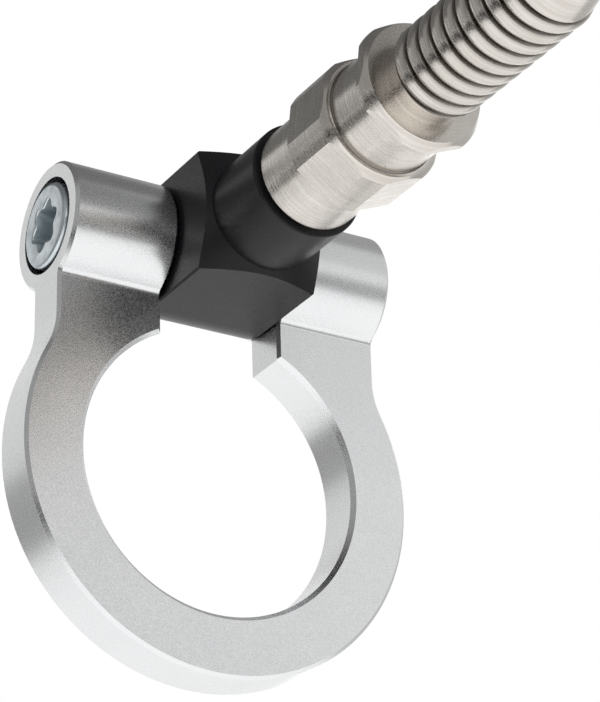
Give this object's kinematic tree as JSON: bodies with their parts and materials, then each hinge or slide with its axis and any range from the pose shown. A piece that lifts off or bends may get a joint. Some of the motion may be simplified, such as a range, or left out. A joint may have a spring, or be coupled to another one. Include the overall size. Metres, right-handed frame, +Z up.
{
  "type": "tow eye",
  "caption": "Swinging tow eye: a flat machined ring hinged by a cross bolt on a black swivel block, with a stud turned from hex bar and a coarse screw end that fixes it to a vehicle.",
  "frame": {"origin": "on the stud axis, in the screw-side face of the stud's hexagonal seat flange, where it bears on the vehicle's socket", "axes": "+Y along the stud axis towards the hinge and the ring (the screw points to -Y), +X along the hinge bolt from its head to its tip, +Z up, with the ring hanging towards -Z"},
  "size_m": [0.0764, 0.1302, 0.0929],
  "materials": {
    "ring_aluminium": "satin blasted, clear anodised",
    "block_black": "black anodised, semi-gloss",
    "bolt_zinc": "blue-white zinc plate",
    "stud_nickel": "nickel plate over turned steel"
  },
  "bodies": {
    "swivel": {"swivel_block": "block_black", "threaded_stud": "stud_nickel"},
    "ring": {"tow_ring": "ring_aluminium", "hinge_bolt": "bolt_zinc"}
  },
  "joints": [
    {"name": "ring_swing", "type": "hinge", "parent": "swivel", "child": "ring", "pos_m": [0, 0.0737, 0], "axis": [1, 0, 0], "range_deg": [-75, 255]}
  ]
}
